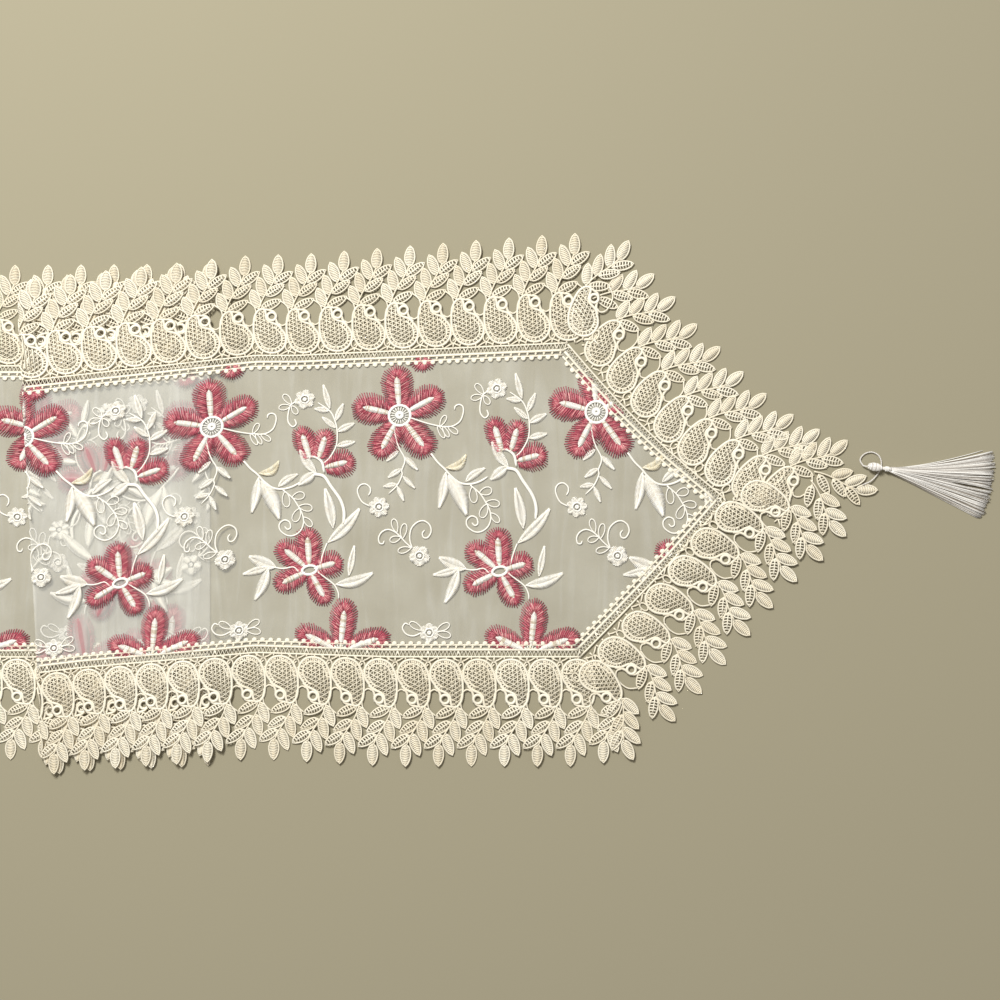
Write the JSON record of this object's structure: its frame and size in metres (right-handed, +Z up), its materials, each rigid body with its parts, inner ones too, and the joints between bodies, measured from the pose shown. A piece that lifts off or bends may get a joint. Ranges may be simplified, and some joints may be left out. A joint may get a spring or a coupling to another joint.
{
  "type": "table runner",
  "caption": "Sheer embroidered table runner with pointed ends, a wide openwork lace border and a tassel at each end, laid flat with a Z-fold.",
  "frame": {"origin": "middle of the laid object's underside, on the surface that it lies on", "axes": "+X along the runner towards its right-hand pointed end, +Y across it, +Z up out of the cloth"},
  "size_m": [1.4086, 0.4219, 0.0063],
  "materials": {
    "organza": "sheer woven organza",
    "lace": "matte cream embroidery thread",
    "embroidery_red": "burgundy satin stitch",
    "embroidery_cream": "ivory satin stitch",
    "embroidery_gold": "gold satin stitch",
    "tassel_cord": "thin twisted cord",
    "tassel_silk": "silky pale grey thread"
  },
  "bodies": {
    "left_cloth": {"organza_left": "organza", "lace_upper_left": "lace", "lace_lower_left": "lace", "lace_left_upper_point": "lace", "lace_left_lower_point": "lace"},
    "fold_cloth": {"organza_fold": "organza", "lace_upper_fold": "lace", "lace_lower_fold": "lace"},
    "right_cloth": {"organza_right": "organza", "lace_upper_right": "lace", "lace_lower_right": "lace", "lace_right_upper_point": "lace", "lace_right_lower_point": "lace"},
    "right_loop": {"right_tassel_loop": "tassel_cord"},
    "right_tassel": {"right_tassel_knot": "tassel_silk", "right_tassel_neck": "tassel_silk", "right_tassel_skirt": "tassel_silk"},
    "left_loop": {"left_tassel_loop": "tassel_cord"},
    "left_tassel": {"left_tassel_knot": "tassel_silk", "left_tassel_neck": "tassel_silk", "left_tassel_skirt": "tassel_silk"}
  },
  "joints": [
    {"name": "fold_open", "type": "hinge", "parent": "left_cloth", "child": "fold_cloth", "pos_m": [0.1028, 0, 0.0022], "axis": [0, 1, 0], "range_deg": [0, 180]},
    {"name": "fold_return", "type": "hinge", "parent": "fold_cloth", "child": "right_cloth", "pos_m": [-0.03549, 0, 0.0022], "axis": [-0.0484, 0.9988, 0], "range_deg": [-180, 0]},
    {"name": "right_tassel_lift", "type": "hinge", "parent": "right_cloth", "child": "right_loop", "pos_m": [0.6015, 0.0215, 0.0022], "axis": [0, -1, 0], "range_deg": [0, 100]},
    {"name": "right_tassel_swing", "type": "hinge", "parent": "right_loop", "child": "right_tassel", "pos_m": [0.6107, 0.0352, 0.0041], "axis": [0, 0, 1], "range_deg": [-45, 45]},
    {"name": "left_tassel_lift", "type": "hinge", "parent": "left_cloth", "child": "left_loop", "pos_m": [-0.6015, 0.0135, 0.0022], "axis": [0, 1, 0], "range_deg": [0, 100]},
    {"name": "left_tassel_swing", "type": "hinge", "parent": "left_loop", "child": "left_tassel", "pos_m": [-0.6107, 0.0272, 0.0041], "axis": [0, 0, 1], "range_deg": [-45, 45]}
  ],
  "couplings": [
    {"joint": "fold_return", "follows": "fold_open", "ratio": -1}
  ]
}
